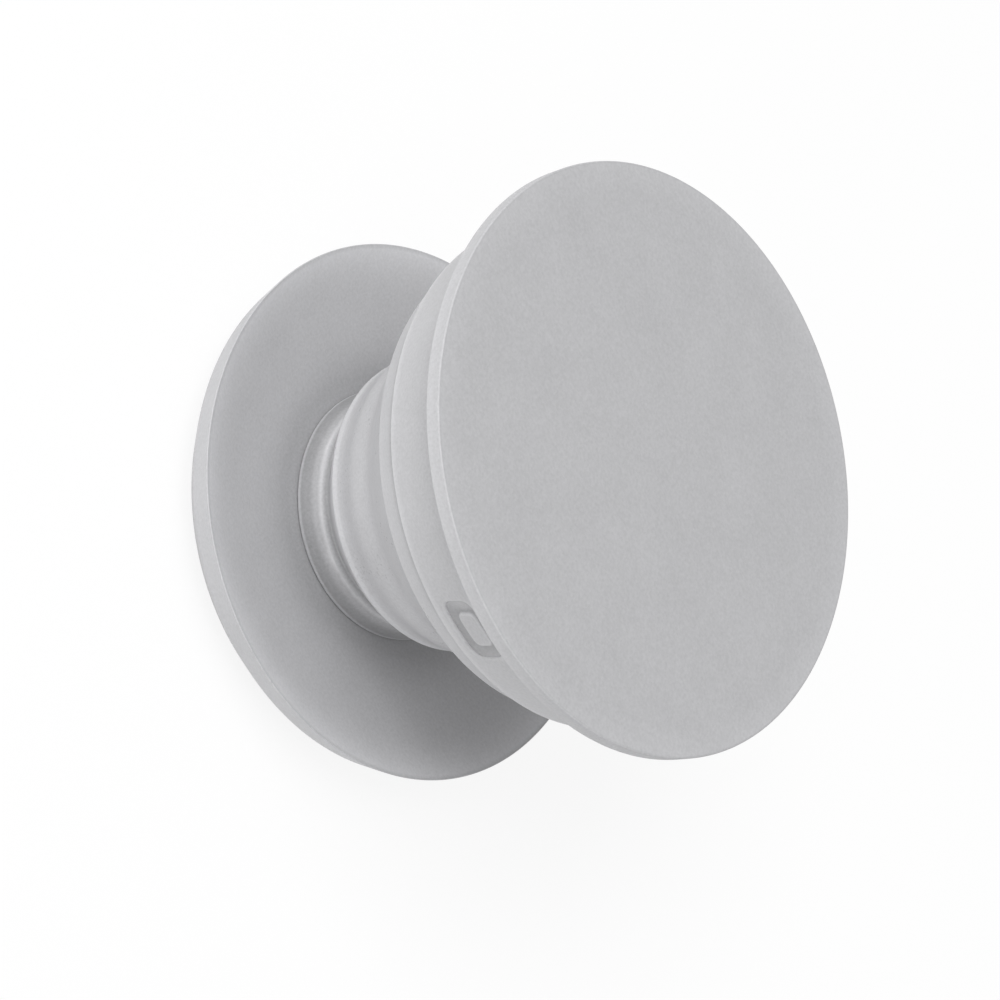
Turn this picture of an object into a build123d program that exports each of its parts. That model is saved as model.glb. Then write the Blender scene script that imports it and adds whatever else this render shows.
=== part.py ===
from build123d import *
from math import atan2, cos, hypot, radians, sin
import os

# Collapsible phone grip, drawn out. Millimetres, +Z out of the phone, z = 0 on the adhesive face.

# Adhesive pad
pad_radius = 16.4
pad_thickness = 0.8

# Base plate: a dished disc with a flared rim and an undercut below it
base_flat_radius = 16.9
rim_low_height = 2.95
rim_low_radius = 18.55
rim_top_height = 5.35
rim_top_radius = 19.35
rim_bevel = 0.15
dish_height = 2.8
dish_floor_radius = 9.9
dish_sag = 0.3
hole_radius = 7.2
web_thickness = 0.8
recess_radius = 9.0

# Foot of the bellows, a soft grommet that turns in the hole of the base
turn_clearance = 0.12
foot_flange_radius = 8.6
foot_bore_radius = 6.0
foot_skirt_radius = 9.1
foot_skirt_edge = 0.16
foot_floor_rise = 0.75

# Hard plug that keeps the foot spread
plug_flange_thickness = 0.4
plug_flange_radius = 8.2
plug_press_gap = 0.04
plug_wall = 1.1
plug_height = 3.7

# Outer skin of the bellows from the neck to the cone, each station as radius and rise above the dish
neck_low = (8.66, 0.32)
neck_side = (8.76, 1.1)
neck_ridge = (8.46, 1.85)
neck_top = (8.0, 2.15)
roll_under = (8.6, 3.1)
roll_shoulder = (10.15, 4.75)
roll_crown = (10.5, 5.3)
roll_top = (10.54, 6.0)
roll_end = (10.95, 7.25)
wave_rise = (11.36, 8.3)
wave_top = (11.65, 9.9)
cone_low = (12.2, 10.95)
cone_top = (13.2, 12.2)
lip_root = (13.6, 12.85)
skin_wall = 0.75

# Lip of the skin, each station as a step in from the lip's top edge and a drop below the collar
lip_under = (1.72, 2.82)
lip_edge = (1.12, 2.47)

# Rounding of the skin where it turns most
neck_round = 1.0
ridge_round = 0.2
crown_round = 0.6
wave_round = 1.5
lip_root_round = 0.8

# Head of the bellows, a soft grommet in the collar
lip_setback = 0.18
head_clearance = 0.1
head_wall = 0.9
head_flange_grip = 1.2
head_flange_thickness = 0.45

# Collar: a conical ring with an inner ledge and a spigot that enters the front disc
collar_low_height = 21.15
collar_height = 6.15
collar_taper = 1.3
collar_wall = 1.0
collar_bevel = 0.12
ledge_width = 2.4
ledge_thickness = 0.6
spigot_setback = 0.5
spigot_height = 0.4

# Front disc with a skirt inside the collar
disc_radius = 20.1
disc_flare = 0.05
disc_overhang = 1.45
disc_thickness = 1.2
disc_bevel = 0.15
disc_low_bevel = 0.1
disc_seat_gap = 0.1
skirt_clearance = 0.12
skirt_wall = 1.0

# Latch: a lug on each side of the skirt that shows in a window of the collar
latch_angles = (270, 90)
window_width = 4.5
window_height = 3.0
window_rise = 1.12
window_round = 0.8
lug_width = 2.75
lug_height = 1.9
lug_top_gap = 0.1
lug_round = 0.55
lug_recess = 0.12
lug_bevel = 0.15

# Derived radii, worked inward from the front disc
disc_low_radius = disc_radius - disc_flare
collar_top_radius = disc_low_radius - disc_overhang
collar_low_radius = collar_top_radius - collar_taper
spigot_radius = collar_top_radius - spigot_setback
ledge_radius = collar_low_radius - ledge_width
lip_top_radius = collar_low_radius - lip_setback
head_tube_radius = ledge_radius - head_clearance
head_bore_radius = head_tube_radius - head_wall
head_flange_radius = ledge_radius + head_flange_grip

# Derived heights and the slope of the collar
web_low_height = dish_height - web_thickness
foot_flange_top = web_low_height - turn_clearance
plug_low_height = pad_thickness + turn_clearance
foot_low_height = plug_low_height + plug_flange_thickness
foot_skirt_low = dish_height + turn_clearance
foot_floor_height = dish_height + foot_floor_rise
foot_tube_radius = hole_radius - turn_clearance
ledge_height = collar_low_height + ledge_thickness
head_flange_top = ledge_height + head_flange_thickness
window_low_height = collar_low_height + window_rise
disc_low_height = collar_low_height + collar_height
disc_height = disc_low_height + disc_thickness
shoulder_height = disc_low_height - disc_seat_gap
spigot_top = shoulder_height + spigot_height
collar_slope = collar_taper / collar_height
collar_lean = atan2(collar_slope, 1)
lug_middle = window_height - lug_top_gap - lug_height / 2
lug_depth = collar_wall - lug_recess + skirt_clearance + skirt_wall / 2


def collar_outside(height):
    """Outside radius of the collar's cone at a height."""
    return collar_low_radius + collar_slope * (height - collar_low_height)


def collar_inside(height):
    """Inside radius of the collar's cone at a height."""
    return collar_outside(height) - collar_wall / cos(collar_lean)


def skirt_outside(height):
    """Outside radius of the front disc's skirt at a height."""
    return collar_inside(height) - skirt_clearance


def skirt_inside(height):
    """Inside radius of the front disc's skirt at a height."""
    return skirt_outside(height) - skirt_wall


def inner_skin(stations):
    """Stations of the bellows' inner face, one wall thickness inside the outer ones."""
    normals = []
    for (r0, z0), (r1, z1) in zip(stations, stations[1:]):
        length = hypot(r1 - r0, z1 - z0)
        normals.append(((z0 - z1) / length, (r1 - r0) / length))
    inner = []
    for (r, z), (a, b), (c, d) in zip(stations, normals[:1] + normals, normals + normals[-1:]):
        mitre = skin_wall / (1 + a * c + b * d)
        inner.append((r + (a + c) * mitre, z + (b + d) * mitre))
    return inner


def latch_plane(angle, along):
    """Plane on the collar's cone at a latch, at a distance along the cone from the window's lower edge."""
    height = window_low_height + along * cos(collar_lean)
    radius = collar_outside(height)
    out = (cos(radians(angle)), sin(radians(angle)))
    return Plane(
        origin=(radius * out[0], radius * out[1], height),
        x_dir=(-out[1], out[0], 0),
        z_dir=(out[0] * cos(collar_lean), out[1] * cos(collar_lean), -sin(collar_lean)),
    )


os.makedirs("parts", exist_ok=True)

# Adhesive pad
with BuildPart() as adhesive_pad:
    with BuildSketch():
        Circle(pad_radius)
    extrude(amount=pad_thickness)
adhesive_pad.part.label = "adhesive_pad"
export_step(adhesive_pad.part, "parts/adhesive_pad.step")

# Base plate
with BuildPart() as base_plate:
    with BuildSketch(Plane.XZ) as base_section:
        with BuildLine():
            Polyline(
                (dish_floor_radius, dish_height),
                (hole_radius, dish_height),
                (hole_radius, web_low_height),
                (recess_radius, web_low_height),
                (recess_radius, pad_thickness),
                (base_flat_radius, pad_thickness),
                (rim_low_radius, rim_low_height),
                (rim_top_radius, rim_top_height),
            )
            SagittaArc((rim_top_radius, rim_top_height), (dish_floor_radius, dish_height), dish_sag)
        make_face()
        chamfer(base_section.vertices().sort_by(Axis.X)[-1], length=rim_bevel)
    revolve(axis=Axis.Z)
base_plate.part.label = "base_plate"
export_step(base_plate.part, "parts/base_plate.step")

# Plug in the foot
with BuildPart() as foot_plug:
    with BuildSketch(Plane.XY.offset(plug_low_height)):
        Circle(plug_flange_radius)
    extrude(amount=plug_flange_thickness)
    with BuildSketch(Plane.XY.offset(plug_low_height)):
        Circle(foot_bore_radius - plug_press_gap)
    extrude(amount=plug_height)
    with BuildSketch(Plane.XY.offset(plug_low_height + plug_height)):
        Circle(foot_bore_radius - plug_press_gap - plug_wall)
    extrude(amount=plug_flange_thickness - plug_height, mode=Mode.SUBTRACT)
foot_plug.part.label = "foot_plug"
export_step(foot_plug.part, "parts/foot_plug.step")

# Bellows
skin_rounds = {
    neck_low: 0,
    neck_side: neck_round,
    neck_ridge: ridge_round,
    neck_top: ridge_round,
    roll_under: 0,
    roll_shoulder: 0,
    roll_crown: crown_round,
    roll_top: wave_round,
    roll_end: 0,
    wave_rise: wave_round,
    wave_top: wave_round,
    cone_low: 0,
    cone_top: 0,
    lip_root: lip_root_round,
}
skin = [(radius, dish_height + rise) for radius, rise in skin_rounds]
skin += [(lip_top_radius - step, collar_low_height - drop) for step, drop in (lip_under, lip_edge)]
foot_outline = [
    (foot_bore_radius, foot_floor_height),
    (foot_bore_radius, foot_low_height),
    (foot_flange_radius, foot_low_height),
    (foot_flange_radius, foot_flange_top),
    (foot_tube_radius, foot_flange_top),
    (foot_tube_radius, foot_skirt_low),
    (foot_skirt_radius, foot_skirt_low),
    (foot_skirt_radius, foot_skirt_low + foot_skirt_edge),
]
head_outline = [
    (lip_top_radius, collar_low_height),
    (head_tube_radius, collar_low_height),
    (head_tube_radius, ledge_height),
    (head_flange_radius, ledge_height),
    (head_flange_radius, head_flange_top),
    (head_bore_radius, head_flange_top),
    (head_bore_radius, collar_low_height - skin_wall),
    (lip_top_radius - 2 * skin_wall, collar_low_height - skin_wall),
]
outline = foot_outline + skin + head_outline + inner_skin(skin)[:0:-1]
rounds = [0] * len(foot_outline) + list(skin_rounds.values())
rounds += [0] * (len(outline) - len(rounds))
with BuildPart() as bellows:
    with BuildSketch(Plane.XZ):
        with BuildLine():
            FilletPolyline(*outline, radius=rounds, close=True)
        make_face()
    revolve(axis=Axis.Z)
bellows.part.label = "bellows"
export_step(bellows.part, "parts/bellows.step")

# Collar
with BuildPart() as collar:
    with BuildSketch(Plane.XZ) as collar_section:
        with BuildLine():
            Polyline(
                (ledge_radius, collar_low_height),
                (collar_low_radius, collar_low_height),
                (collar_outside(shoulder_height), shoulder_height),
                (spigot_radius, shoulder_height),
                (spigot_radius, spigot_top),
                (collar_inside(spigot_top), spigot_top),
                (collar_inside(ledge_height), ledge_height),
                (ledge_radius, ledge_height),
                close=True,
            )
        make_face()
        low_corner = collar_section.vertices().group_by(Axis.Y)[0].sort_by(Axis.X)[-1]
        chamfer(low_corner, length=collar_bevel)
    revolve(axis=Axis.Z)
    for angle in latch_angles:
        with BuildSketch(latch_plane(angle, window_height / 2)):
            RectangleRounded(window_width, window_height, window_round)
        extrude(amount=2 * collar_wall, both=True, mode=Mode.SUBTRACT)
collar.part.label = "collar"
export_step(collar.part, "parts/collar.step")

# Front disc
with BuildPart() as top_disc:
    with BuildSketch(Plane.XZ) as disc_section:
        with BuildLine():
            Polyline(
                (0, disc_height),
                (disc_radius, disc_height),
                (disc_low_radius, disc_low_height),
                (spigot_radius + skirt_clearance, disc_low_height),
                (spigot_radius + skirt_clearance, spigot_top + disc_seat_gap),
                (skirt_outside(spigot_top + disc_seat_gap), spigot_top + disc_seat_gap),
                (skirt_outside(head_flange_top), head_flange_top),
                (skirt_inside(head_flange_top), head_flange_top),
                (skirt_inside(disc_low_height), disc_low_height),
                (0, disc_low_height),
                close=True,
            )
        make_face()
        face_corner = disc_section.vertices().sort_by(Axis.X)[-1]
        low_corner = disc_section.vertices().sort_by(Axis.X)[-2]
        chamfer(face_corner, length=disc_bevel)
        chamfer(low_corner, length=disc_low_bevel)
    revolve(axis=Axis.Z)
    for angle in latch_angles:
        lug_plane = latch_plane(angle, lug_middle).offset(-lug_recess)
        with BuildSketch(lug_plane):
            RectangleRounded(lug_width, lug_height, lug_round)
        extrude(amount=-lug_depth)
        lug_face = top_disc.faces().sort_by_distance(lug_plane.origin)[0]
        chamfer(lug_face.edges(), length=lug_bevel)
top_disc.part.label = "top_disc"
export_step(top_disc.part, "parts/top_disc.step")
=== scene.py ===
from math import asin, atan2, ceil, cos, hypot, pi, radians, sin, tan

import bmesh
import bpy
from bpy.props import FloatProperty, FloatVectorProperty, PointerProperty
from mathutils import Matrix, Vector


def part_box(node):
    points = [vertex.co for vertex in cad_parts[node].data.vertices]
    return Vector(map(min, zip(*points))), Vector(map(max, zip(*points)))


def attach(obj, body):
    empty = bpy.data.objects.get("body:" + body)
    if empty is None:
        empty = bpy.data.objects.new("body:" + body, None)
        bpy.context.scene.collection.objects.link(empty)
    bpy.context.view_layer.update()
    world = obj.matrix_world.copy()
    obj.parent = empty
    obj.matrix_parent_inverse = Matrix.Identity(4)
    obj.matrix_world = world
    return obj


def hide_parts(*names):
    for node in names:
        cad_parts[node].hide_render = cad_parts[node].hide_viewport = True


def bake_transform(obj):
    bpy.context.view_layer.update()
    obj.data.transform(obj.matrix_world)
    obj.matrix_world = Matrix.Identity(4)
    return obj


bl_info = {
    "name": "Collapsible phone grip",
    "version": (1, 0, 0),
    "blender": (4, 5, 0),
    "location": "3D View > Sidebar > Grip",
    "description": "Builds the moulded pieces of a collapsible phone grip around its packed frame",
    "category": "Object",
}

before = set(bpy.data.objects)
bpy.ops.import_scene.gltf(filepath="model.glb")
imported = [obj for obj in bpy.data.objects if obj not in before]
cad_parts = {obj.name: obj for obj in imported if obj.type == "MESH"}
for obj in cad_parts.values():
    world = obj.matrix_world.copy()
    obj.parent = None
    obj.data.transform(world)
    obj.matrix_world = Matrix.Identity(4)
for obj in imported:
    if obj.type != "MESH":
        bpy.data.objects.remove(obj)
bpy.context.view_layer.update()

MM = 0.001
LATCH_ANGLES = (radians(270), radians(90))

# Camera and stage
IMAGE_WIDTH = 1000
SENSOR_WIDTH = 36.0
NEAR_CLIP = 0.01
WHITE = (1, 1, 1, 1)

# Marks on an outline: painted light, none or painted shade on the finish around them
PAINTED_LIGHT_LAYER = "lightness"
# Painted light stands for highlights on lit edges and bands, painted shade for shade in recesses and under
# overhangs
PAINTED_LIGHT_MARK = 1.0
PLAIN = 0.0
PAINTED_SHADE_MARK = -1.0
COLLAR_HIGHLIGHT_MARK = 1.5 * PAINTED_LIGHT_MARK

# Fineness of the meshes
SIDES = 480
TURN_STEP = radians(8)
DISH_POINTS = 24
FOLD_POINTS = 40
ROLL_POINTS = 2  # first points of the folds that get the roll edge's painted highlight
WINDOW_ROWS = 24
EDGE_STEPS = 4

# Limits of the outlines
LEAST_TURN = 0.01  # a smaller turn, in radians, isn't rounded
CUT_SHARE = 0.48  # share of a side that one rounding may take up
ON_CONE = 0.01 * MM  # a point as close as this lies on the cone

# Points that keep the flats beside a rounding flat: how far from it, and how long a run needs them
LONG_RUN = 4
BASE_EASE = 0.15 * MM
PAD_EASE = 0.3 * MM
HEAD_EASE = 0.03 * MM

# Room around the latch windows, in roundings of the edge or in metres
WINDOW_BORDER = 2.2
WINDOW_FLAT = 1.8
LUG_FLAT = 1.6
POCKET_BORDER = 0.3 * MM

# Plastics
NOISE_MIDDLE = 0.5
NOISE_ROUGHNESS = 0.55
CLOUD_DETAIL = 3.0
SPECK_DETAIL = 2.0
CLOUD_SHEEN = 0.1
SPECK_SHEEN = 0.08
RELIEF = 0.35
PLASTIC_IOR = 1.46
PLASTIC_SPECULAR = 0.4
SHELL_DEPTH = 0.012 * MM
SOFT_DEPTH = 0.004 * MM
PAD_DEPTH = 0.1 * MM
PAD_COARSENESS = 2

# Sockets of the colour mixing node, which go by number because several share a name
MIX_FIRST = 6
MIX_SECOND = 7
MIX_RESULT = 2

pad_low, pad_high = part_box("adhesive_pad")
base_low, base_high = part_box("base_plate")
bellows_low, bellows_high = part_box("bellows")
collar_low, collar_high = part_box("collar")
disc_low, disc_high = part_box("top_disc")


def length(name, description, default):
    """A size in metres that shows in the panel."""
    return FloatProperty(
        name=name, description=description, default=default, min=0, unit="LENGTH", subtype="DISTANCE", precision=5
    )


def angle(name, description, default):
    """An angle, written in degrees, that shows in the panel."""
    return FloatProperty(name=name, description=description, default=radians(default), subtype="ANGLE")


def number(name, description, default):
    """A plain number that shows in the panel."""
    return FloatProperty(name=name, description=description, default=default)


def place(name, description, radius, rise):
    """A radius and a height in metres that show in the panel."""
    return FloatVectorProperty(
        name=name, description=description, default=(radius, rise), size=2, unit="LENGTH", precision=5
    )


def colour(name, description, default):
    """A colour that shows in the panel."""
    return FloatVectorProperty(
        name=name, description=description, default=default, min=0, max=1, size=3, subtype="COLOR"
    )


def share(name, description, default):
    """A number from nought to one that shows in the panel."""
    return FloatProperty(name=name, description=description, default=default, min=0, max=1, subtype="FACTOR")


class GripBase(bpy.types.PropertyGroup):
    """Sizes of the dished base and its pad."""

    rim_low_radius: length("Rim's lower radius", "Where the rim turns under", 18.55 * MM)
    rim_low_height: length("Rim's lower height", "Where the rim turns under", 2.95 * MM)
    flat_radius: length("Flat radius", "Flat underside around the pad", 16.9 * MM)
    dish_height: length("Dish height", "Floor of the dish around the neck", 2.8 * MM)
    dish_radius: length("Dish floor radius", "Flat floor of the dish", 9.9 * MM)
    dish_sag: length("Dish sag", "Depth of the dish's curve below a straight cone", 0.3 * MM)
    hole_radius: length("Hole radius", "Hole in which the bellows' foot turns", 7.2 * MM)
    web: length("Web", "Thickness of the floor around the hole", 0.8 * MM)
    recess_radius: length("Recess radius", "Recess for the foot's flange", 9.0 * MM)
    # The rim band and the dish near the rim get painted light; the dish around the foot gets painted shade
    rim_band: share("Rim band", "Share of the rim's height that is highlight_painted", 0.9)
    edge_fade: share("Edge fade", "Share of the dish over which its highlight_painted edge fades", 0.36)
    edge_glow: number("Edge glow", "How strongly the dish is highlight_painted at its edge", 2.0)
    foot_fade: share("Foot fade", "Share of the dish over which the dust around the foot fades", 0.4)
    foot_painted_shade: number("Foot dust", "How strongly dust darkens the dish around the foot", 0.55)
    edge_round: length("Edge round", "Rounding of the rim's top edge", 0.2 * MM)
    turn_round: length("Turn round", "Rounding where the rim turns under", 0.3 * MM)
    small_round: length("Small round", "Rounding of the hidden edges", 0.1 * MM)
    pad_inset: length("Pad inset", "How far the cut foam draws in at its edge", 0.4 * MM)
    pad_round: length("Pad round", "Rounding of the pad's edges", 0.15 * MM)


class GripBellows(bpy.types.PropertyGroup):
    """Sizes of the soft folding neck."""

    foot_radius: length("Foot radius", "Thin skirt on the floor of the dish", 9.03 * MM)
    foot_edge: length("Foot edge", "Thickness of the skirt's edge", 0.16 * MM)
    foot_gap: length("Foot gap", "Gap in which the foot turns", 0.08 * MM)
    foot_bore: length("Foot bore", "Bore of the foot around its plug", 6.0 * MM)
    foot_flange: length("Foot flange", "Flange under the base's hole", 8.6 * MM)
    neck_low: place("Neck foot", "Foot of the neck's bead, above the dish", 8.98 * MM, 0.42 * MM)
    neck_side: place("Neck side", "Fullest place of the neck's bead, above the dish", 8.8 * MM, 1.05 * MM)
    neck_high: place("Neck shoulder", "Shoulder of the neck's bead, above the dish", 8.66 * MM, 1.5 * MM)
    neck_ridge: place("Neck ridge", "Ridge of the neck's bead, above the dish", 8.46 * MM, 1.85 * MM)
    groove: place("Groove", "Groove above the neck's bead, above the dish", 8.0 * MM, 2.15 * MM)
    roll_under: place("Roll's underside", "Underside of the roll, above the dish", 8.6 * MM, 3.1 * MM)
    roll_low: place("Roll's low edge", "Lower edge of the roll, above the dish", 10.15 * MM, 4.75 * MM)
    roll_edge: place("Roll's edge", "Edge of the roll where the folds begin, above the dish", 10.49 * MM, 5.28 * MM)
    fold_end: place("Fold end", "Where the folds meet the lip, above the dish", 13.6 * MM, 12.85 * MM)
    fold_bow: length("Fold bow", "Hollow of the folds inside a straight cone", 0.55 * MM)
    fold_wave: length("Fold wave", "Height of the waves on the folds", 0.16 * MM)
    fold_count: number("Fold count", "Waves between the roll and the lip", 1.735)
    fold_phase: number("Fold phase", "Where the first wave begins, in waves", 0.596)
    lip_under: place("Lip's underside", "In from the lip's top edge, and below the collar", 1.72 * MM, 2.82 * MM)
    lip_edge: place("Lip's edge", "In from the lip's top edge, and below the collar", 1.12 * MM, 2.47 * MM)
    lip_shade: place("Lip's shaded line", "In from the lip's top edge, and below the collar", 0.34 * MM, 0.75 * MM)
    neck_round: length("Neck round", "Rounding of the neck's side", 1.2 * MM)
    ridge_round: length("Ridge round", "Rounding of the neck's ridge", 0.2 * MM)
    roll_round: length("Roll round", "Rounding of the roll's edge", 0.5 * MM)
    lip_round: length("Lip round", "Rounding of the lip's lower edge", 0.15 * MM)
    wall: length("Wall", "Thickness of the skin", 0.75 * MM)
    head_gap: length("Head gap", "Gap between the head and the collar's ledge", 0.1 * MM)
    head_wall: length("Head wall", "Wall of the head inside the ledge", 0.9 * MM)
    head_grip: length("Head grip", "Reach of the head's flange over the ledge", 1.2 * MM)
    edge_round: length("Edge round", "Rounding of the lip's and the foot's edges", 0.08 * MM)


class GripHead(bpy.types.PropertyGroup):
    """Sizes of the collar, its latch windows and the front disc."""

    collar_radius: length("Collar radius", "Lower edge of the collar", 17.3 * MM)
    collar_lean: angle("Collar lean", "Slope of the collar's cone", 11.936)
    # The collar gets painted light above its low edge and painted shade under the front disc
    collar_low_shade: number("Collar's low shade", "How strongly the collar is highlight_painted above its low edge", 0.4)
    collar_high_shade: number("Collar's high shade", "The same under the front disc, darker below nought", -0.2)
    collar_wall: length("Collar wall", "Thickness of the collar", 1.0 * MM)
    collar_round: length("Collar round", "Rounding of the collar's lower edge", 0.12 * MM)
    ledge_width: length("Ledge width", "Ledge that holds the bellows' head", 2.4 * MM)
    ledge_thickness: length("Ledge thickness", "Ledge that holds the bellows' head", 0.6 * MM)
    spigot_radius: length("Spigot radius", "Spigot of the collar in the front disc", 18.1 * MM)
    seat_gap: length("Seat gap", "Gap between the collar and the front disc", 0.1 * MM)
    skirt_gap: length("Skirt gap", "Gap between the collar and the skirt", 0.12 * MM)
    skirt_wall: length("Skirt wall", "Thickness of the skirt", 1.0 * MM)
    window_width: length("Window width", "Latch window around the collar", 4.5 * MM)
    window_height: length("Window height", "Latch window along the collar", 3.0 * MM)
    window_rise: length("Window rise", "Window's lower edge above the collar's", 1.12 * MM)
    window_corner: length("Window corner", "Corner radius of the window", 0.8 * MM)
    window_round: length("Window round", "Rounding of the window's edge", 0.2 * MM)
    pocket_rise: length("Pocket rise", "Outer edge of the window's pocket above the skirt", 1.0 * MM)
    pocket_floor: length("Pocket floor", "Floor of the window's pocket above the skirt, by the lug", 0.6 * MM)
    pocket_foot: length("Pocket foot", "Floor of the window's pocket above the skirt's low edge", 0.15 * MM)
    pocket_gap: length("Pocket gap", "Gap between the pocket's edge and the window's", 0.02 * MM)
    lug_width: length("Lug width", "Latch lug around the skirt", 2.75 * MM)
    lug_height: length("Lug height", "Latch lug along the skirt", 1.9 * MM)
    lug_gap: length("Lug gap", "Gap between the lug and the window's upper edge", 0.1 * MM)
    lug_corner: length("Lug corner", "Corner radius of the lug", 0.55 * MM)
    lug_recess: length("Lug recess", "Lug's face below the collar's outside", 0.12 * MM)
    lug_round: length("Lug round", "Rounding of the lug's edge", 0.15 * MM)
    # The face's edge gets a painted highlight that fades inward
    face_fade: length("Face fade", "Width over which the face's highlight_painted edge fades", 2.2 * MM)
    disc_thickness: length("Disc thickness", "Rim of the front disc", 1.2 * MM)
    disc_flare: length("Disc flare", "Lean of the disc's rim", 0.05 * MM)
    disc_round: length("Disc round", "Rounding of the disc's front edge", 0.12 * MM)
    disc_low_round: length("Disc low round", "Rounding of the disc's back edge", 0.12 * MM)
    small_round: length("Small round", "Rounding of the hidden edges", 0.05 * MM)


class GripFinish(bpy.types.PropertyGroup):
    """Colours and grain of the three finishes."""

    shell_colour: colour("Shell", "Matte grey plastic", (0.50, 0.50, 0.512))
    shell_roughness: share("Shell roughness", "Gloss of the matte plastic", 0.5)
    soft_colour: colour("Bellows", "Satin grey elastomer", (0.565, 0.565, 0.577))
    soft_roughness: share("Bellows roughness", "Gloss of the elastomer", 0.3)
    pad_colour: colour("Pad", "Dull foam pad", (0.30, 0.30, 0.305))
    pad_roughness: share("Pad roughness", "Gloss of the foam", 0.85)
    # Strengths of the painted light on edges and lit bands, and of the painted shade in recesses and under
    # overhangs
    painted_light: share("Edge light", "How much paler the highlight_painted edges are", 0.12)
    painted_shade: share("Painted_shade", "How much darker the shade_painted recesses are", 0.27)
    clouds: share("Clouds", "Strength of the plastic's faint clouds", 0.1)
    specks: share("Specks", "Strength of the plastic's fine grain", 0.3)
    grain: length("Grain", "Width of the plastic's finest grain", 0.2 * MM)
    mottle: length("Mottle", "Width of the plastic's faint clouds", 4.0 * MM)


class GripStage(bpy.types.PropertyGroup):
    """Camera, lamps and floor."""

    view_distance: length("View distance", "From the camera to the dish", 243.56 * MM)
    view_focal: number("Focal length", "In picture widths", 3.4)
    view_azimuth: angle("View azimuth", "Direction of the camera around Z", 241.9)
    view_tilt: angle("View tilt", "Angle between the grip's axis and the view", 44.5)
    view_roll: angle("View roll", "Turn of the axis in the picture", 12.3)
    view_height: length("Aim height", "Point on the axis that the camera is set by", 2.95 * MM)
    aim_right: number("Aim right", "That point right of the middle, in pixels", -107.46)
    aim_down: number("Aim down", "That point below the middle, in pixels", 14.57)
    lamp_distance: length("Lamp distance", "From the lamps to the grip", 1.0)
    key_power: number("Key", "Power of the key lamp in watts", 6.1)
    key_size: length("Key size", "Width of the key lamp", 0.6)
    key_azimuth: angle("Key azimuth", "Direction of the key lamp around Z", 200)
    key_tilt: angle("Key tilt", "Key lamp's angle from the grip's axis", 35)
    left_power: number("Left", "Power of the low lamp on the left in watts", 2.45)
    left_size: length("Left size", "Width of the low lamp on the left", 0.22)
    left_azimuth: angle("Left azimuth", "Direction of the low lamp on the left", 172)
    left_tilt: angle("Left tilt", "Angle of the low lamp on the left from the grip's axis", 86.5)
    right_power: number("Right", "Power of the low lamp on the right in watts", 2.95)
    right_size: length("Right size", "Width of the low lamp on the right", 0.22)
    right_azimuth: angle("Right azimuth", "Direction of the low lamp on the right", 266)
    right_tilt: angle("Right tilt", "Angle of the low lamp on the right from the grip's axis", 86.5)
    sky: number("Sky", "Even light from all round", 0.49)
    floor_colour: colour("Floor", "Plain pale floor", (0.7, 0.7, 0.7))
    floor_gain: share("Floor gain", "How much paler the camera sees the floor", 0.42)
    floor_size: length("Floor size", "Width of the floor", 8.0)
    shadow: share("Shadow", "How much of the floor's own shading the camera sees", 0.13)


class Link:
    """A shader socket that takes part in Python arithmetic."""

    def __init__(self, finish, socket):
        self.finish = finish
        self.socket = socket

    def _math(self, operation, *terms):
        return self.finish.node("ShaderNodeMath", {"operation": operation}, dict(enumerate(terms)))

    def __add__(self, other):
        return self._math("ADD", self, other)

    def __radd__(self, other):
        return self._math("ADD", other, self)

    def __sub__(self, other):
        return self._math("SUBTRACT", self, other)

    def __mul__(self, other):
        return self._math("MULTIPLY", self, other)


class Finish:
    """A material or world whose nodes are added one expression at a time."""

    def __init__(self, tree):
        self.tree = tree
        tree.nodes.clear()

    def node(self, kind, settings=None, inputs=None, output=0):
        """Adds a node, sets it up, fills its sockets and returns one of its outputs."""
        made = self.tree.nodes.new(kind)
        for name, value in (settings or {}).items():
            setattr(made, name, value)
        for name, value in (inputs or {}).items():
            if isinstance(value, Link):
                self.tree.links.new(value.socket, made.inputs[name])
            else:
                made.inputs[name].default_value = value
        return Link(self, made.outputs[output]) if made.outputs else None

    def place(self):
        """The piece's own coordinates in metres."""
        return self.node("ShaderNodeTexCoord", output="Object")

    def noise(self, width, detail, where):
        """Noise about nought whose features have a width in metres."""
        sockets = {"Vector": where, "Scale": 1 / width, "Detail": detail, "Roughness": NOISE_ROUGHNESS}
        return self.node("ShaderNodeTexNoise", inputs=sockets) - NOISE_MIDDLE

    def mark(self, layer):
        """A number that the mesh carries at its points."""
        return self.node("ShaderNodeAttribute", {"attribute_name": layer}, output="Fac")

    def tint(self, base_colour, light):
        """A colour made lighter or darker by a share."""
        grey = self.node("ShaderNodeCombineColor", inputs={"Red": light, "Green": light, "Blue": light})
        settings = {"data_type": "RGBA", "blend_type": "MULTIPLY"}
        sockets = {"Factor": 1.0, MIX_FIRST: (*base_colour, 1.0), MIX_SECOND: grey}
        return self.node("ShaderNodeMix", settings, sockets, MIX_RESULT)


def new_finish(name):
    """A material under a name and the sheet that its nodes go on."""
    material = bpy.data.materials.new(name)
    material.use_nodes = True
    return material, Finish(material.node_tree)


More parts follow.
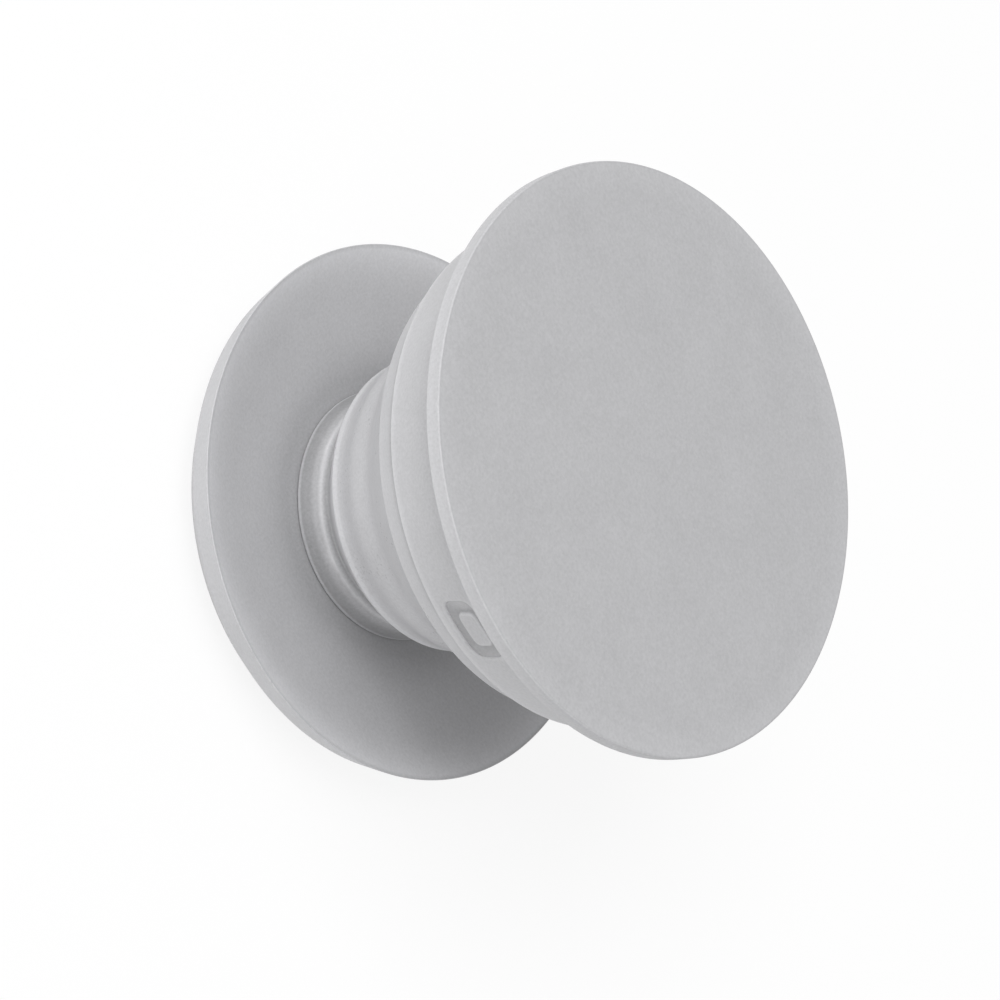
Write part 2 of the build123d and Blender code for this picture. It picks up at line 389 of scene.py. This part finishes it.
def moulded(name, base_colour, roughness, grain, grain_depth):
    """Moulded plastic: faint clouds in the colour, fine grain in the surface and an uneven sheen."""
    finish = bpy.context.scene.grip_finish
    material, sheet = new_finish(name)
    where = sheet.place()
    cloud = sheet.noise(finish.mottle, CLOUD_DETAIL, where)
    speck = sheet.noise(grain, SPECK_DETAIL, where)
    # The mesh's marks add painted highlights and painted shade to the colour
    light = 1 + cloud * finish.clouds + speck * finish.specks + sheet.mark(PAINTED_LIGHT_LAYER)
    relief = sheet.node("ShaderNodeBump", inputs={"Strength": RELIEF, "Distance": grain_depth, "Height": speck})
    shader = sheet.node(
        "ShaderNodeBsdfPrincipled",
        inputs={
            "Base Color": sheet.tint(base_colour, light),
            "Roughness": roughness + cloud * CLOUD_SHEEN + speck * SPECK_SHEEN,
            "Normal": relief,
            "IOR": PLASTIC_IOR,
            "Specular IOR Level": PLASTIC_SPECULAR,
        },
    )
    sheet.node("ShaderNodeOutputMaterial", inputs={"Surface": shader})
    return material


def shell_finish():
    """Hard grey plastic with a fine spark-eroded grain."""
    finish = bpy.context.scene.grip_finish
    return bpy.data.materials.get("shell_plastic") or moulded(
        "shell_plastic", finish.shell_colour, finish.shell_roughness, finish.grain, SHELL_DEPTH
    )


def soft_finish():
    """Soft grey elastomer, smoother and a little glossier."""
    finish = bpy.context.scene.grip_finish
    return bpy.data.materials.get("soft_elastomer") or moulded(
        "soft_elastomer", finish.soft_colour, finish.soft_roughness, finish.grain, SOFT_DEPTH
    )


def pad_finish():
    """Dull foam with open cells."""
    finish = bpy.context.scene.grip_finish
    return bpy.data.materials.get("foam_pad") or moulded(
        "foam_pad", finish.pad_colour, finish.pad_roughness, PAD_COARSENESS * finish.grain, PAD_DEPTH
    )


def rounded(stations):
    """A closed outline of marked points. Each station gives a radius and height, a rounding and a mark."""
    outline = []
    corners = [Vector(corner) for corner, _, _ in stations]
    for index, (_, wanted, mark) in enumerate(stations):
        here = corners[index]
        back = corners[index - 1] - here
        onward = corners[(index + 1) % len(corners)] - here
        turn = pi - back.angle(onward)
        if wanted == 0 or turn < LEAST_TURN:
            outline.append((here, mark))
            continue
        cut = min(wanted * tan(turn / 2), CUT_SHARE * back.length, CUT_SHARE * onward.length)
        radius = cut / tan(turn / 2)
        centre = here + (back.normalized() + onward.normalized()).normalized() * hypot(cut, radius)
        start = here + back.normalized() * cut - centre
        side = 1 if back.cross(onward) < 0 else -1
        steps = max(2, ceil(turn / TURN_STEP))
        for step in range(steps + 1):
            outline.append((centre + Matrix.Rotation(side * turn * step / steps, 2) @ start, mark))
    return outline


def eased(outline, reach):
    """The outline with a point close to both ends of each long straight run, which keeps the run's shading flat."""
    points = []
    for (here, mark), (onward, next_mark) in zip(outline, outline[1:] + outline[:1]):
        points.append((here, mark))
        run = onward - here
        if run.length > LONG_RUN * reach:
            points.append((here + run.normalized() * reach, mark))
            points.append((onward - run.normalized() * reach, next_mark))
    return points


def at(radius, around, height):
    """A point by its radius and its angle around the axis."""
    return Vector((radius * cos(around), radius * sin(around), height))


class Turning:
    """A mesh turned around the axis, with places left open for windows or bosses."""

    def __init__(self, outline):
        self.mesh = bmesh.new()
        self.layer = self.mesh.verts.layers.float.new(PAINTED_LIGHT_LAYER)
        self.outline = outline
        self.points = {}

    def vert(self, spot, mark):
        """A mesh point that carries how much painted light or painted shade the finish gets there."""
        finish = bpy.context.scene.grip_finish
        made = self.mesh.verts.new(spot)
        made[self.layer] = mark * (finish.painted_light if mark > 0 else finish.painted_shade)
        return made

    def point(self, row, column):
        """The mesh point of an outline row at a column, shared at the axis."""
        (radius, height), mark = self.outline[row]
        key = (row, column % SIDES) if radius > 0 else (row, 0)
        if key not in self.points:
            self.points[key] = self.vert(at(radius, 2 * pi * key[1] / SIDES, height), mark)
        return self.points[key]

    def face(self, *points):
        """A face over the points, without repeats."""
        distinct = list(dict.fromkeys(points))
        if len(distinct) > 2:
            self.mesh.faces.new(distinct)

    def skin(self, open_places=()):
        """All the faces of the turning, apart from those in the open places."""
        rows = len(self.outline)
        for row in range(rows):
            onward = (row + 1) % rows
            for column in range(SIDES):
                if any(opening.holds(row, column) for opening in open_places):
                    continue
                self.face(
                    self.point(row, column),
                    self.point(row, column + 1),
                    self.point(onward, column + 1),
                    self.point(onward, column),
                )

    def border(self, opening):
        """The mesh points around an open place."""
        return [self.point(row, column) for row, column in opening.border()]

    def object(self, name, material):
        """The finished piece."""
        bmesh.ops.recalc_face_normals(self.mesh, faces=self.mesh.faces)
        data = bpy.data.meshes.new(name)
        self.mesh.to_mesh(data)
        self.mesh.free()
        data.shade_smooth()
        data.materials.append(material)
        piece = bpy.data.objects.new(name, data)
        bpy.context.scene.collection.objects.link(piece)
        return piece


class OpenPlace:
    """A place in a cone, between two rows and some columns either side of its middle."""

    def __init__(self, rows, around, half_columns):
        self.first, self.last = rows
        self.middle = round(around / (2 * pi) * SIDES)
        self.half = half_columns

    def holds(self, row, column):
        """Whether the face at a row and a column lies in the place."""
        offset = (column - self.middle + SIDES // 2) % SIDES - SIDES // 2
        return self.first <= row < self.last and -self.half <= offset < self.half

    def border(self):
        """Rows and columns around the place in order."""
        columns = range(self.middle - self.half, self.middle + self.half + 1)
        low = [(self.first, column) for column in columns]
        right = [(row, columns[-1]) for row in range(self.first + 1, self.last)]
        high = [(self.last, column) for column in reversed(columns)]
        left = [(row, columns[0]) for row in range(self.last - 1, self.first, -1)]
        return low + right + high + left


def rectangle_edge(direction, width, height, corner):
    """Where a ray from the middle of a rounded rectangle leaves it."""
    across, along = abs(direction.x), abs(direction.y)
    if across * (height / 2 - corner) >= along * width / 2:
        reach = width / 2 / across
    elif along * (width / 2 - corner) >= across * height / 2:
        reach = height / 2 / along
    else:
        middle = Vector((width / 2 - corner, height / 2 - corner))
        ray = Vector((across, along)).normalized()
        near = middle.dot(ray)
        reach = (near + (near * near - middle.length_squared + corner * corner) ** 0.5) / hypot(across, along)
    return direction * reach


class Cone:
    """A cone by its lower radius and height and its lean, and points on it beside a middle line."""

    def __init__(self, radius, height, lean):
        self.radius = radius
        self.height = height
        self.lean = lean

    def outside(self, height):
        """The cone's radius at a height."""
        return self.radius + (height - self.height) * tan(self.lean)

    def on(self, height):
        """The outline point of the cone at a height."""
        return Vector((self.outside(height), height))

    def spot(self, middle, across, along, depth):
        """A point across and along the cone from its middle line's foot, at a depth below its face."""
        radius = self.radius + along * sin(self.lean) - depth * cos(self.lean)
        height = self.height + along * cos(self.lean) + depth * sin(self.lean)
        return at(radius, middle + asin(across / radius), height)


def with_rows(outline, cone, heights, marks):
    """The outline with rows spread over a stretch of the cone, and the first and the last of those rows."""
    start, end = (Vector((*cone.on(height), mark)) for height, mark in zip(heights, marks))
    for index, (here, _) in enumerate(outline):
        onward, _ = outline[(index + 1) % len(outline)]
        off_cone = abs(cone.outside(here.y) - here.x) + abs(cone.outside(onward.y) - onward.x)
        low, high = sorted((here.y, onward.y))
        if off_cone < ON_CONE and low < min(heights) and max(heights) < high:
            steps = [start.lerp(end, step / WINDOW_ROWS) for step in range(WINDOW_ROWS + 1)]
            rows = [(step.xy, step.z) for step in steps]
            return outline[: index + 1] + rows + outline[index + 1 :], (index + 1, index + 1 + WINDOW_ROWS)
    raise RuntimeError("No straight run of the outline lies on the cone between those heights")


def lead_in(turning, loop, cone, middle, centre, size, rings):
    """Joins a loop of points to rings of a rounded rectangle, each with offset, depth and mark."""
    width, height, corner = size
    flats = []
    for vert in loop:
        radius = hypot(vert.co.x, vert.co.y)
        around = atan2(vert.co.y, vert.co.x) - middle
        along = (vert.co.z - cone.height) / cos(cone.lean)
        flats.append(Vector((radius * sin(around), along - centre)))
    for offset, depth, mark in rings:
        ring = []
        for flat in flats:
            edge = rectangle_edge(flat, width + 2 * offset, height + 2 * offset, corner + offset)
            ring.append(turning.vert(cone.spot(middle, edge.x, centre + edge.y, depth), mark))
        for index in range(len(loop)):
            onward = (index + 1) % len(loop)
            turning.face(loop[index], loop[onward], ring[onward], ring[index])
        loop = ring
    return loop


def bridge(turning, near, far):
    """Joins two loops around a window, matched point by nearest point."""
    count = len(near)
    start = min(range(count), key=lambda index: (far[index].co - near[0].co).length)
    ahead = (far[(start + 1) % count].co - near[1].co).length
    behind = (far[start - 1].co - near[1].co).length
    step = 1 if ahead < behind else -1
    for index in range(count):
        onward = (index + 1) % count
        turning.face(
            near[index],
            near[onward],
            far[(start + step * onward) % count],
            far[(start + step * index) % count],
        )


def window_rings(edge):
    """Rings of a window's rounded edge, from the face into the wall."""
    rings = [(WINDOW_FLAT * edge, 0, PLAIN)]
    for step in range(EDGE_STEPS + 1):
        turn = pi / 2 * step / EDGE_STEPS
        # The rounded edge gets half the painted highlight
        rings.append((edge * (1 - sin(turn)), edge * (1 - cos(turn)), PAINTED_LIGHT_MARK / 2))
    return rings


def lug_rings(foot, stand, edge):
    """Rings of a lug from its foot to its face, with a rounded edge and an inner ring on the face."""
    # Painted shade at the lug's foot and a painted highlight on its rounded edge
    rings = [(0, -foot, PAINTED_SHADE_MARK / 2), (0, edge - stand, PAINTED_LIGHT_MARK)]
    for step in range(1, EDGE_STEPS + 1):
        turn = pi / 2 * step / EDGE_STEPS
        rings.append((-edge * (1 - cos(turn)), edge - stand - edge * sin(turn), PAINTED_LIGHT_MARK))
    rings.append((-LUG_FLAT * edge, -stand, PLAIN))
    return rings


def hollow(part):
    """A bow that is nought at both ends of a run and one in its middle."""
    return 4 * part * (1 - part)


def dish_curve(rim, floor, sag):
    """The dish's floor from the rim inward, an arc that sags below a straight cone."""
    chord = floor - rim
    below = Vector((chord.y, -chord.x)).normalized()
    if below.y > 0:
        below = -below
    shares = [step / DISH_POINTS for step in range(DISH_POINTS + 1)]
    return [rim + chord * part + below * sag * hollow(part) for part in shares]


def fading(strength, reach, points):
    """Marks that die away over a share of a run of points."""
    return [strength * max(0, 1 - step / points / reach) ** 2 for step in range(points)]


def fold_curve(bellows, floor):
    """The folds from the roll to the lip: a hollow cone with waves that die out at both ends."""
    low = Vector(bellows.roll_edge)
    run = Vector(bellows.fold_end) - low
    start = sin(2 * pi * bellows.fold_phase)
    end = sin(2 * pi * (bellows.fold_phase + bellows.fold_count))
    curve = []
    for step in range(FOLD_POINTS + 1):
        part = step / FOLD_POINTS
        wave = sin(2 * pi * (bellows.fold_phase + bellows.fold_count * part)) - start * (1 - part) - end * part
        radius = low.x + run.x * part - bellows.fold_bow * hollow(part) + bellows.fold_wave * wave
        curve.append(Vector((radius, floor + low.y + run.y * part)))
    return curve


def inside_of(spots, wall):
    """Points one wall thickness inside the outer ones."""
    inner = []
    for index, here in enumerate(spots):
        before = spots[max(index - 1, 0)]
        after = spots[min(index + 1, len(spots) - 1)]
        along = (after - before).normalized()
        inner.append(here + Vector((-along.y, along.x)) * wall)
    return inner


def settle(piece, body, node):
    """Lets a piece ride on its body in the place of its frame node."""
    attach(piece, body)
    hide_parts(node)


class GRIP_OT_base(bpy.types.Operator):
    """Turn the dished base plate with its flared rim"""

    bl_idname = "grip.base"
    bl_label = "Base plate"

    def execute(self, context):
        base = context.scene.grip_base
        under = base_low.z
        web_low = base.dish_height - base.web
        top = Vector((base_high.x, base_high.z))
        floor = Vector((base.dish_radius, base.dish_height))
        rim_low = Vector((base.rim_low_radius, base.rim_low_height))
        dish = dish_curve(top, floor, base.dish_sag)[1:]
        # Painted light on the dish near the rim and painted shade on the dish around the neck's foot
        glow = fading(PAINTED_LIGHT_MARK * base.edge_glow, base.edge_fade, len(dish))
        painted_shade = fading(PAINTED_SHADE_MARK * base.foot_painted_shade, base.foot_fade, len(dish))[::-1]
        small = base.small_round
        stations = [
            ((base.hole_radius, base.dish_height), small, painted_shade[-1]),
            ((base.hole_radius, web_low), small, PLAIN),
            ((base.recess_radius, web_low), 0, PLAIN),
            ((base.recess_radius, under), small, PLAIN),
            ((base.flat_radius, under), small, PLAIN),
            # The rim's turn, its band and its top edge get painted light
            (rim_low, base.turn_round, PAINTED_LIGHT_MARK),
            (rim_low.lerp(top, base.rim_band), 0, PAINTED_LIGHT_MARK),
            (top, base.edge_round, PAINTED_LIGHT_MARK / 2),
        ]
        stations += [(spot, 0, sum(marks)) for spot, *marks in zip(dish, glow, painted_shade)]
        turning = Turning(eased(rounded(stations), BASE_EASE))
        turning.skin()
        settle(turning.object("dished_base", shell_finish()), "base", "base_plate")
        return {"FINISHED"}


class GRIP_OT_pad(bpy.types.Operator):
    """Turn the foam pad that sticks the base to the phone"""

    bl_idname = "grip.pad"
    bl_label = "Adhesive pad"

    def execute(self, context):
        base = context.scene.grip_base
        radius = pad_high.x - base.pad_inset
        stations = [
            ((0, pad_low.z), 0, PLAIN),
            ((radius, pad_low.z), base.pad_round, PLAIN),
            ((radius, pad_high.z), base.pad_round, PLAIN),
            ((0, pad_high.z), 0, PLAIN),
        ]
        turning = Turning(eased(rounded(stations), PAD_EASE))
        turning.skin()
        settle(turning.object("foam_pad", pad_finish()), "base", "adhesive_pad")
        return {"FINISHED"}


class GRIP_OT_plug(bpy.types.Operator):
    """Give the hidden plug in the foot its finish"""

    bl_idname = "grip.plug"
    bl_label = "Foot plug"

    def execute(self, context):
        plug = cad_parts["foot_plug"]
        plug.data.materials.clear()
        plug.data.materials.append(shell_finish())
        return {"FINISHED"}


class GRIP_OT_bellows(bpy.types.Operator):
    """Turn the soft neck with its folds, foot and head"""

    bl_idname = "grip.bellows"
    bl_label = "Bellows"

    def execute(self, context):
        bellows = context.scene.grip_bellows
        base = context.scene.grip_base
        head = context.scene.grip_head
        floor = base.dish_height
        foot_low = floor + bellows.foot_gap
        foot_high = foot_low + bellows.foot_edge
        lip = collar_low.z
        lip_radius = bellows_high.x
        web_low = floor - base.web - bellows.foot_gap
        tube = base.hole_radius - bellows.foot_gap
        edge = bellows.edge_round
        foot = [
            ((bellows.foot_bore, floor + bellows.wall), 0, PLAIN),
            ((bellows.foot_bore, bellows_low.z), 0, PLAIN),
            ((bellows.foot_flange, bellows_low.z), 0, PLAIN),
            ((bellows.foot_flange, web_low), 0, PLAIN),
            ((tube, web_low), 0, PLAIN),
            ((tube, foot_low), 0, PLAIN),
            # A painted highlight on the skirt's upper edge
            ((bellows.foot_radius, foot_low), edge / 2, PLAIN),
            ((bellows.foot_radius, foot_high), edge / 2, PAINTED_LIGHT_MARK),
        ]
        # The neck's bead and its groove get painted shade, its ridge and the roll's edge a painted highlight
        neck = (
            (bellows.neck_low, 0, PAINTED_SHADE_MARK),
            (bellows.neck_side, bellows.neck_round, PAINTED_SHADE_MARK),
            (bellows.neck_high, bellows.neck_round, PAINTED_SHADE_MARK / 2),
            (bellows.neck_ridge, bellows.ridge_round, PAINTED_LIGHT_MARK),
            (bellows.groove, bellows.ridge_round, PAINTED_SHADE_MARK),
            (bellows.roll_under, bellows.roll_round, PLAIN),
            (bellows.roll_low, bellows.roll_round, PLAIN),
            (bellows.roll_edge, bellows.roll_round, PAINTED_LIGHT_MARK),
        )
        folds = fold_curve(bellows, floor)[1:]
        fold_marks = [PAINTED_LIGHT_MARK] * ROLL_POINTS + [PLAIN] * (len(folds) - ROLL_POINTS)
        # A painted highlight on the lip's lower edge
        lip_steps = (
            (bellows.lip_under, bellows.lip_round, PLAIN),
            (bellows.lip_edge, bellows.lip_round, PAINTED_LIGHT_MARK),
            (bellows.lip_shade, 0, PLAIN),
        )
        skin = [(Vector((radius, floor + rise)), size, mark) for (radius, rise), size, mark in neck]
        skin += [(spot, 0, mark) for spot, mark in zip(folds, fold_marks)]
        skin += [(Vector((lip_radius - step, lip - drop)), size, mark) for (step, drop), size, mark in lip_steps]
        ledge_radius = head.collar_radius - head.ledge_width
        ledge = lip + head.ledge_thickness
        head_tube = ledge_radius - bellows.head_gap
        bore = head_tube - bellows.head_wall
        # Painted shade on the lip where it meets the collar
        top = [
            ((lip_radius, lip), edge, PAINTED_SHADE_MARK),
            ((head_tube, lip), 0, PLAIN),
            ((head_tube, ledge), 0, PLAIN),
            ((ledge_radius + bellows.head_grip, ledge), 0, PLAIN),
            ((ledge_radius + bellows.head_grip, bellows_high.z), 0, PLAIN),
            ((bore, bellows_high.z), 0, PLAIN),
            ((bore, lip - bellows.wall), 0, PLAIN),
            ((lip_radius - 2 * bellows.wall, lip - bellows.wall), 0, PLAIN),
        ]
        outside = [spot for spot, _, _ in skin[:-1]]
        inside = [(spot, 0, PLAIN) for spot in inside_of(outside, bellows.wall)[:0:-1]]
        turning = Turning(rounded(foot + skin + top + inside))
        turning.skin()
        piece = turning.object("folding_neck", soft_finish())
        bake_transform(piece)
        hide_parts("bellows")
        return {"FINISHED"}


class GRIP_OT_collar(bpy.types.Operator):
    """Turn the conical collar with its two latch windows"""

    bl_idname = "grip.collar"
    bl_label = "Collar"

    def execute(self, context):
        head = context.scene.grip_head
        lean = head.collar_lean
        outer = Cone(head.collar_radius, collar_low.z, lean)
        inner = Cone(head.collar_radius - head.collar_wall / cos(lean), collar_low.z, lean)
        shoulder = disc_high.z - head.disc_thickness - head.seat_gap
        ledge_radius = head.collar_radius - head.ledge_width
        ledge = collar_low.z + head.ledge_thickness
        small = head.small_round
        # Painted highlight on the collar's low edge, then painted light fading to painted shade under the front
        # disc
        stations = [
            ((ledge_radius, collar_low.z), small, PLAIN),
            ((head.collar_radius, collar_low.z), head.collar_round, COLLAR_HIGHLIGHT_MARK),
            (outer.on(shoulder), small, head.collar_high_shade),
            ((head.spigot_radius, shoulder), 0, PLAIN),
            ((head.spigot_radius, collar_high.z), small, PLAIN),
            (inner.on(collar_high.z), 0, PLAIN),
            (inner.on(ledge), small, PLAIN),
            ((ledge_radius, ledge), small, PLAIN),
        ]
        shades = (head.collar_low_shade, head.collar_high_shade)
        centre = head.window_rise / cos(lean) + head.window_height / 2
        border = WINDOW_BORDER * head.window_round
        margin = head.window_height / 2 + border
        heights = [collar_low.z + (centre + way * margin) * cos(lean) for way in (-1, 1)]
        outline = eased(rounded(stations), HEAD_EASE)
        outline, outer_rows = with_rows(outline, outer, heights, shades)
        outline, inner_rows = with_rows(outline, inner, heights[::-1], (PLAIN, PLAIN))
        turning = Turning(outline)
        half = ceil((head.window_width / 2 + border) / inner.radius / (2 * pi) * SIDES)
        size = (head.window_width, head.window_height, head.window_corner)
        outsides = [OpenPlace(outer_rows, around, half) for around in LATCH_ANGLES]
        insides = [OpenPlace(inner_rows, around, half) for around in LATCH_ANGLES]
        turning.skin(outsides + insides)
        for around, outside, inside in zip(LATCH_ANGLES, outsides, insides):
            rings = window_rings(head.window_round)
            near = lead_in(turning, turning.border(outside), outer, around, centre, size, rings)
            far = lead_in(turning, turning.border(inside), inner, around, centre, size, [(0, 0, PLAIN)])
            bridge(turning, near, far)
        settle(turning.object("latch_collar", shell_finish()), "top", "collar")
        return {"FINISHED"}


class GRIP_OT_disc(bpy.types.Operator):
    """Turn the front disc with its skirt and latch lugs"""

    bl_idname = "grip.disc"
    bl_label = "Front disc"

    def execute(self, context):
        head = context.scene.grip_head
        lean = head.collar_lean
        outer = Cone(head.collar_radius - head.collar_wall / cos(lean) - head.skirt_gap, collar_low.z, lean)
        inner = Cone(outer.radius - head.skirt_wall, collar_low.z, lean)
        under = disc_high.z - head.disc_thickness
        recess = collar_high.z + head.seat_gap
        groove = head.spigot_radius + head.skirt_gap
        small = head.small_round
        # The face's edge and the disc's back edge get a painted highlight
        stations = [
            ((0, disc_high.z), 0, PLAIN),
            ((disc_high.x - head.face_fade, disc_high.z), 0, PLAIN),
            ((disc_high.x - 2 * head.disc_round, disc_high.z), 0, PAINTED_LIGHT_MARK / 2),
            ((disc_high.x, disc_high.z), head.disc_round, PLAIN),
            ((disc_high.x - head.disc_flare, under), head.disc_low_round, PAINTED_LIGHT_MARK / 2),
            ((groove, under), small, PLAIN),
            ((groove, recess), 0, PLAIN),
            (outer.on(recess), 0, PLAIN),
            (outer.on(disc_low.z), small, PLAIN),
            (inner.on(disc_low.z), small, PLAIN),
            (inner.on(under), small, PLAIN),
            ((0, under), 0, PLAIN),
        ]
        window_top = head.window_rise / cos(lean) + head.window_height
        centre = window_top - head.lug_gap - head.lug_height / 2
        pocket_low = (disc_low.z - collar_low.z) / cos(lean) + head.pocket_foot
        # The skirt's slope is measured from a foot that lies this much further down than the collar's.
        slip = (head.collar_radius - outer.radius) * sin(lean)
        pocket_high = window_top + slip - head.pocket_gap
        pocket_ends = (pocket_high + head.pocket_gap, pocket_low - head.pocket_gap)
        heights = [collar_low.z + along * cos(lean) for along in pocket_ends]
        outline = eased(rounded(stations), HEAD_EASE)
        outline, rows = with_rows(outline, outer, heights, (PLAIN, PLAIN))
        turning = Turning(outline)
        half = ceil((head.window_width / 2 + POCKET_BORDER) / outer.radius / (2 * pi) * SIDES)
        places = [OpenPlace(rows, around, half) for around in LATCH_ANGLES]
        turning.skin(places)
        stand = head.collar_wall + head.skirt_gap - head.lug_recess
        pocket_width = head.window_width - 2 * head.pocket_gap
        pocket_middle = (pocket_low + pocket_high) / 2
        pocket = (pocket_width, pocket_high - pocket_low, head.window_corner - head.pocket_gap)
        size = (head.lug_width, head.lug_height, head.lug_corner)
        # Painted light on the pocket's outer edge; the lug's rings carry painted shade at its foot and painted
        # highlights on its edge
        pocket_rings = ((0, 0, PLAIN), (0, -head.pocket_rise, PAINTED_LIGHT_MARK))
        rings = lug_rings(head.pocket_floor, stand, head.lug_round)
        for around, opening in zip(LATCH_ANGLES, places):
            border = turning.border(opening)
            floor = lead_in(turning, border, outer, around, pocket_middle, pocket, pocket_rings)
            top = lead_in(turning, floor, outer, around, centre, size, rings)
            cap = turning.vert(outer.spot(around, 0, centre, -stand), PLAIN)
            for index in range(len(top)):
                turning.face(top[index], top[(index + 1) % len(top)], cap)
        settle(turning.object("front_disc", shell_finish()), "top", "top_disc")
        return {"FINISHED"}


def floor_finish(stage):
    """A pale floor that the camera sees as white with a faint shadow."""
    material, sheet = new_finish("pale_floor")
    camera_ray = sheet.node("ShaderNodeLightPath", output="Is Camera Ray")
    gloss_ray = sheet.node("ShaderNodeLightPath", output="Is Glossy Ray")
    through_ray = sheet.node("ShaderNodeLightPath", output="Is Transmission Ray")
    shade = sheet.tint(stage.floor_colour, 1 + camera_ray * stage.floor_gain)
    paper = sheet.node("ShaderNodeBsdfDiffuse", inputs={"Color": shade})
    white = sheet.node("ShaderNodeEmission", inputs={"Color": WHITE, "Strength": 1.0})
    seen = (camera_ray + gloss_ray + through_ray) * (1 - stage.shadow)
    mixed = sheet.node("ShaderNodeMixShader", inputs={0: seen, 1: paper, 2: white})
    sheet.node("ShaderNodeOutputMaterial", inputs={"Surface": mixed})
    return material


def area_lamp(stage, name):
    """A soft square lamp that faces the grip from its own direction."""
    around = getattr(stage, name + "_azimuth")
    tilt = getattr(stage, name + "_tilt")
    middle = Vector((0, 0, disc_high.z / 2))
    way = Vector((cos(around) * sin(tilt), sin(around) * sin(tilt), cos(tilt)))
    data = bpy.data.lights.new(name, "AREA")
    data.energy = getattr(stage, name + "_power")
    data.size = getattr(stage, name + "_size")
    lamp = bpy.data.objects.new(name, data)
    lamp.location = middle + way * stage.lamp_distance
    lamp.rotation_euler = way.to_track_quat("Z", "Y").to_euler()
    bpy.context.scene.collection.objects.link(lamp)


def view_axes(stage):
    """Directions toward the camera, to the picture's right and to its top."""
    level = Vector((cos(stage.view_azimuth), sin(stage.view_azimuth), 0))
    toward = level * sin(stage.view_tilt) + Vector((0, 0, cos(stage.view_tilt)))
    along = Vector((0, 0, sin(stage.view_tilt))) - level * cos(stage.view_tilt)
    above = toward.cross(along)
    right = along * cos(stage.view_roll) - above * sin(stage.view_roll)
    up = along * sin(stage.view_roll) + above * cos(stage.view_roll)
    return toward, right, up


class GRIP_OT_stage(bpy.types.Operator):
    """Set the floor, the lamps and the camera"""

    bl_idname = "grip.stage"
    bl_label = "Stage"

    def execute(self, context):
        scene = context.scene
        stage = scene.grip_stage
        scene.view_settings.view_transform = "Standard"
        mesh = bmesh.new()
        bmesh.ops.create_grid(mesh, x_segments=2, y_segments=2, size=stage.floor_size / 2)
        data = bpy.data.meshes.new("floor")
        mesh.to_mesh(data)
        mesh.free()
        data.materials.append(floor_finish(stage))
        floor = bpy.data.objects.new("floor", data)
        scene.collection.objects.link(floor)

        world = bpy.data.worlds.new("studio")
        world.use_nodes = True
        sheet = Finish(world.node_tree)
        sky = sheet.node("ShaderNodeBackground", inputs={"Color": WHITE, "Strength": stage.sky})
        sheet.node("ShaderNodeOutputWorld", inputs={"Surface": sky})
        scene.world = world

        for name in ("key", "left", "right"):
            area_lamp(stage, name)

        toward, right, up = view_axes(stage)
        data = bpy.data.cameras.new("camera")
        data.sensor_width = SENSOR_WIDTH
        data.lens = stage.view_focal * SENSOR_WIDTH
        data.clip_start = NEAR_CLIP
        camera = bpy.data.objects.new("camera", data)
        aim = Vector((stage.aim_right, -stage.aim_down, -stage.view_focal * IMAGE_WIDTH))
        facing = Matrix((right, up, toward)).transposed()
        turn = aim.rotation_difference(Vector((0, 0, -1))).to_matrix()
        spot = Vector((0, 0, stage.view_height)) + toward * stage.view_distance
        camera.matrix_world = Matrix.Translation(spot) @ (facing @ turn).to_4x4()
        scene.collection.objects.link(camera)
        scene.camera = camera
        return {"FINISHED"}


class GRIP_PT_panel(bpy.types.Panel):
    """The grip's pieces and sizes"""

    bl_idname = "GRIP_PT_panel"
    bl_label = "Phone grip"
    bl_space_type = "VIEW_3D"
    bl_region_type = "UI"
    bl_category = "Grip"

    def draw(self, context):
        for operator in OPERATORS:
            self.layout.operator(operator.bl_idname)
        for name, group in GROUPS.items():
            box = self.layout.box()
            box.label(text=group.__doc__)
            for setting in group.__annotations__:
                box.prop(getattr(context.scene, name), setting)


GROUPS = {
    "grip_base": GripBase,
    "grip_bellows": GripBellows,
    "grip_head": GripHead,
    "grip_finish": GripFinish,
    "grip_stage": GripStage,
}
OPERATORS = (
    GRIP_OT_base,
    GRIP_OT_pad,
    GRIP_OT_plug,
    GRIP_OT_bellows,
    GRIP_OT_collar,
    GRIP_OT_disc,
    GRIP_OT_stage,
)


def register():
    for group in GROUPS.values():
        bpy.utils.register_class(group)
    for name, group in GROUPS.items():
        setattr(bpy.types.Scene, name, PointerProperty(type=group))
    for operator in OPERATORS:
        bpy.utils.register_class(operator)
    bpy.utils.register_class(GRIP_PT_panel)


def unregister():
    bpy.utils.unregister_class(GRIP_PT_panel)
    for operator in reversed(OPERATORS):
        bpy.utils.unregister_class(operator)
    for name, group in GROUPS.items():
        delattr(bpy.types.Scene, name)
        bpy.utils.unregister_class(group)


def main():
    register()
    for operator in OPERATORS:
        family, name = operator.bl_idname.split(".")
        getattr(getattr(bpy.ops, family), name)()


if __name__ == "__main__":
    main()
